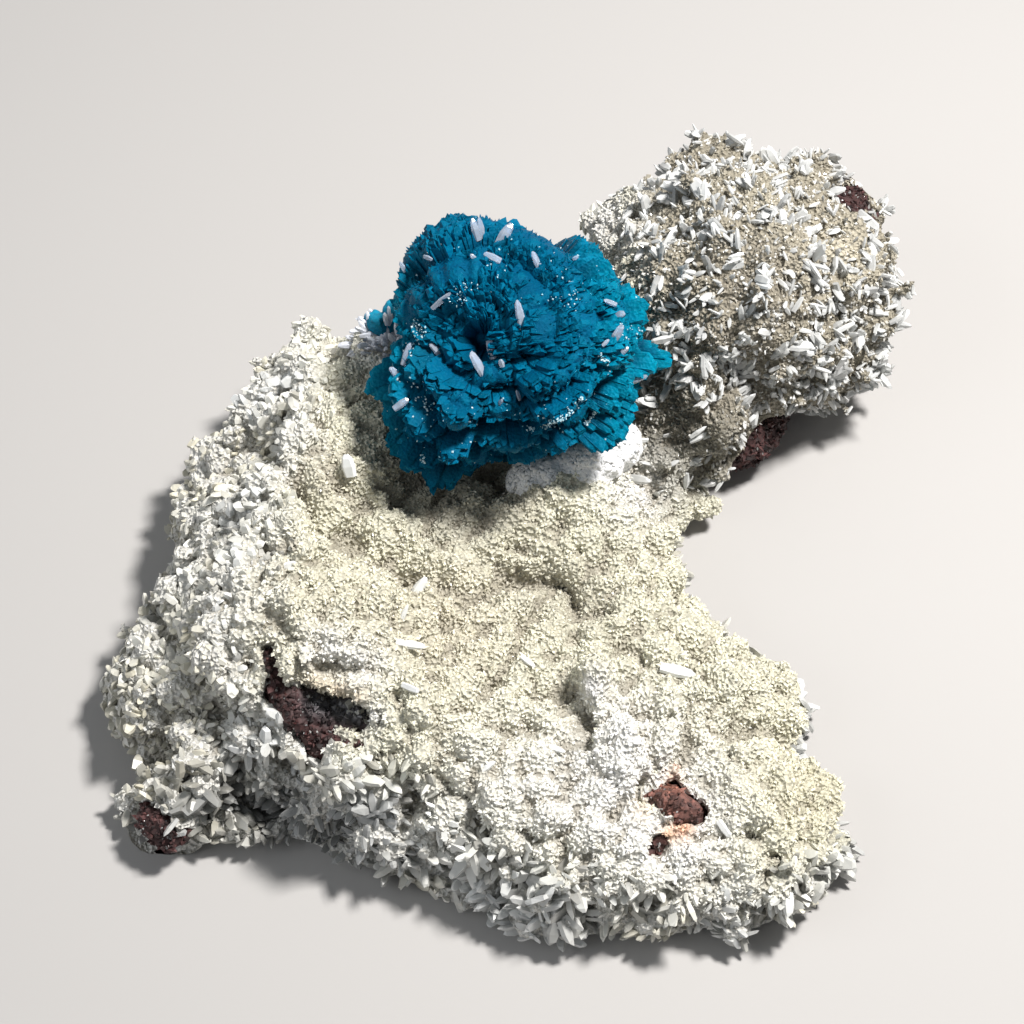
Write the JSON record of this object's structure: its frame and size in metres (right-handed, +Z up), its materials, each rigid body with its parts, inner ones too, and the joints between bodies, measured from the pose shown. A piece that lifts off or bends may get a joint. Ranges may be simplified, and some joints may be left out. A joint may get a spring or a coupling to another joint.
{
  "type": "mineral specimen",
  "caption": "Blue rosette of radiating blades on a pale blade-studded crust over dark rock, resting on its flat broken underside.",
  "frame": {"origin": "middle of the specimen's footprint, on the surface that it rests on", "axes": "+Z up from the resting face through the display face, +Y from the thick front flank towards the upper block, +X to the right seen from the front"},
  "size_m": [0.0959, 0.1009, 0.0411],
  "materials": {
    "basalt": "rough, vesicular, dark reddish brown",
    "stilbite_crust": "sparkling white to cream druse",
    "cavansite": "waxy to glassy, deep greenish blue",
    "white_cushion": "matt, finely fibrous, snow white",
    "clear_stilbite": "clear to milky, glassy"
  },
  "bodies": {
    "root": {"basalt_matrix": "basalt", "stilbite_crust": "stilbite_crust", "cavansite_rosette": "cavansite", "cavansite_sprig": "cavansite", "white_cushion": "white_cushion", "stilbite_on_rosette_1": "clear_stilbite", "stilbite_on_rosette_2": "clear_stilbite", "stilbite_on_rosette_3": "clear_stilbite", "stilbite_on_rosette_4": "clear_stilbite", "stilbite_on_rosette_5": "clear_stilbite", "stilbite_on_rosette_6": "clear_stilbite", "stilbite_on_rosette_7": "clear_stilbite", "stilbite_on_rosette_8": "clear_stilbite"}
  },
  "joints": []
}
